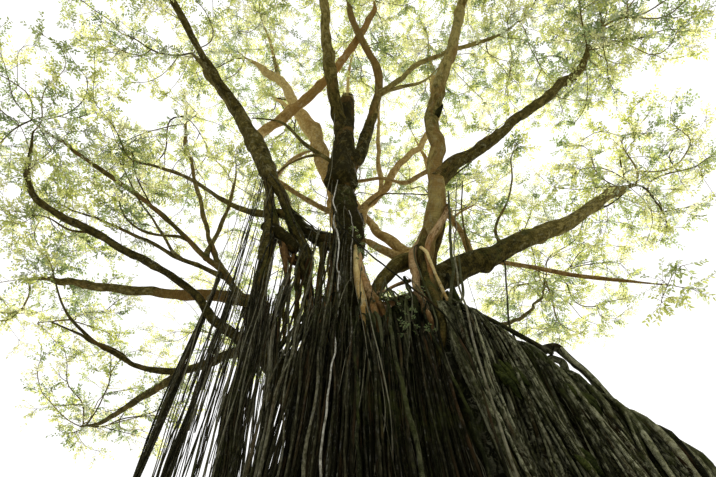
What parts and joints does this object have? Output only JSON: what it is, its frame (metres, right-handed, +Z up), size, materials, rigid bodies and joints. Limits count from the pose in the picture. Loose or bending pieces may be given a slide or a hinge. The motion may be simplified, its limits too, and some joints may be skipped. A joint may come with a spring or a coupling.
{
  "type": "white fig tree",
  "caption": "Strangler white fig tree: a trunk of fused hanging roots with a sloping root wall, spreading stems and boughs, and an open umbrella of separate foliage masses.",
  "frame": {"origin": "on the flat cut at ground level, under the middle of the trunk between the root wall and the left curtain", "axes": "+Z up along the trunk, +X out along the sloping root wall, +Y from the side the picture was taken from to the back"},
  "size_m": [37.1752, 36.3469, 40],
  "materials": {
    "root_bark": "rough bark of fused roots, grey-brown with lichen and moss",
    "hanging_root": "thin hanging roots, dull grey-brown",
    "bough_bark": "grey-brown bark with pale lichen and some moss",
    "tan_bark": "smooth tan bark, matt",
    "foliage": "leaf sprays, satin, yellow-green where light comes through"
  },
  "bodies": {
    "root": {"trunk": "root_bark", "root_wall_right_1": "root_bark", "root_wall_right_2": "root_bark", "root_wall_right_3": "root_bark", "stem_rear_left": "bough_bark", "stem_centre": "bough_bark", "stem_left": "bough_bark", "stem_tan": "tan_bark", "stem_right": "bough_bark", "bough_right": "bough_bark", "stem_centre_left": "bough_bark", "stem_centre_right": "bough_bark", "bough_back_left_low": "bough_bark", "bough_back_left": "bough_bark", "bough_right_up": "bough_bark", "bough_high_right": "bough_bark", "bough_back_mid": "bough_bark", "bough_cross_tan": "tan_bark", "bough_left_low": "bough_bark", "bough_left_low_end": "bough_bark", "bough_left_back": "bough_bark", "bough_left_up": "bough_bark", "bough_left_rear": "bough_bark", "bough_left_rear_low": "bough_bark", "bough_left_fork": "bough_bark", "bough_rear_right": "bough_bark", "bough_rear": "bough_bark", "bough_rear_left": "bough_bark", "bough_rear_high": "bough_bark", "bough_rear_right_high": "bough_bark", "bough_rear_left_high": "bough_bark", "bough_front": "bough_bark", "bough_front_left": "bough_bark", "bough_front_right": "bough_bark", "root_curtain_left": "hanging_root", "root_curtain_front": "hanging_root", "hanging_roots_left": "hanging_root", "foliage_top_centre": "foliage", "foliage_top_right": "foliage", "foliage_top_left": "foliage", "foliage_top_rear": "foliage", "foliage_top_front": "foliage", "foliage_front_centre": "foliage", "foliage_front_right": "foliage", "foliage_right_high": "foliage", "foliage_right_rear_high": "foliage", "foliage_rear_left_high": "foliage", "foliage_left_rear_high": "foliage", "foliage_left_high": "foliage", "foliage_right_low": "foliage", "foliage_right_mid": "foliage", "foliage_front_right_low": "foliage", "foliage_front_left_low": "foliage", "foliage_left_front": "foliage", "foliage_left_mid": "foliage", "foliage_left_low": "foliage", "foliage_left_rear_low": "foliage", "foliage_rear_left_low": "foliage", "foliage_rear_right_low": "foliage", "foliage_right_rear_low": "foliage"}
  },
  "joints": []
}
